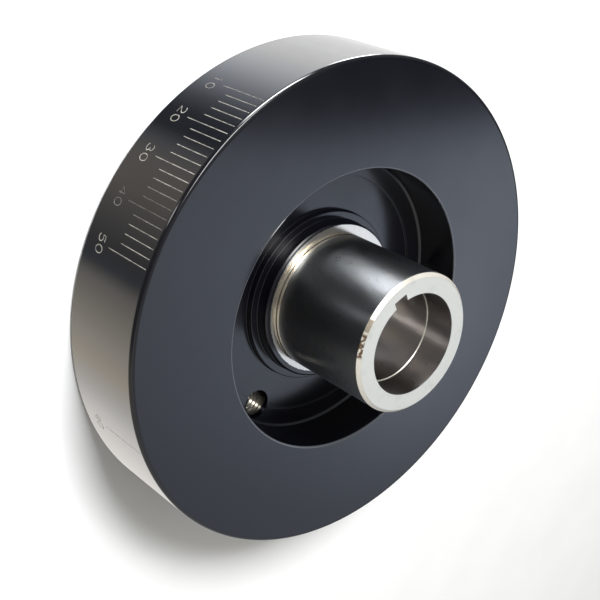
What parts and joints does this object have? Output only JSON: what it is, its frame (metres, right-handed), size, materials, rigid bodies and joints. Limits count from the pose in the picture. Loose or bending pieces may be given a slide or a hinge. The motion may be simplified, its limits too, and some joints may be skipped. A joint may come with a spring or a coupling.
{
  "type": "harmonic balancer",
  "caption": "Sealed viscous crankshaft balancer: black steel housing with timing scale, deep recess, long keyed snout, welded cover and a free inertia ring inside.",
  "frame": {"origin": "centre of the pulley-side face, on which the balancer lies", "axes": "+Z along the crank axis from the pulley side to the snout's end, +Y through the keyway"},
  "size_m": [0.1588, 0.1588, 0.0587],
  "materials": {
    "black_coated_steel": "smooth gloss black coating over machined steel, bare on the snout, shoulder and snout end",
    "plug_steel": "zinc plated",
    "ring_steel": "turned",
    "bearing_bronze": "plain bearing band",
    "bearing_plastic": "moulded"
  },
  "bodies": {
    "housing": {"housing": "black_coated_steel", "front_cover": "black_coated_steel", "outer_weld": "black_coated_steel", "inner_weld": "black_coated_steel", "fill_plug": "plug_steel", "vent_plug": "plug_steel"},
    "inertia_ring": {"inertia_ring": "ring_steel", "journal_bearing": "bearing_bronze", "thrust_pad_front_1": "bearing_plastic", "thrust_pad_rear_1": "bearing_plastic", "thrust_pad_front_2": "bearing_plastic", "thrust_pad_rear_2": "bearing_plastic", "thrust_pad_front_3": "bearing_plastic", "thrust_pad_rear_3": "bearing_plastic", "thrust_pad_front_4": "bearing_plastic", "thrust_pad_rear_4": "bearing_plastic", "thrust_pad_front_5": "bearing_plastic", "thrust_pad_rear_5": "bearing_plastic", "thrust_pad_front_6": "bearing_plastic", "thrust_pad_rear_6": "bearing_plastic"}
  },
  "joints": [
    {"name": "inertia_spin", "type": "hinge", "parent": "housing", "child": "inertia_ring", "pos_m": [0, 0, 0.01575], "axis": [0, 0, 1], "continuous": true}
  ]
}
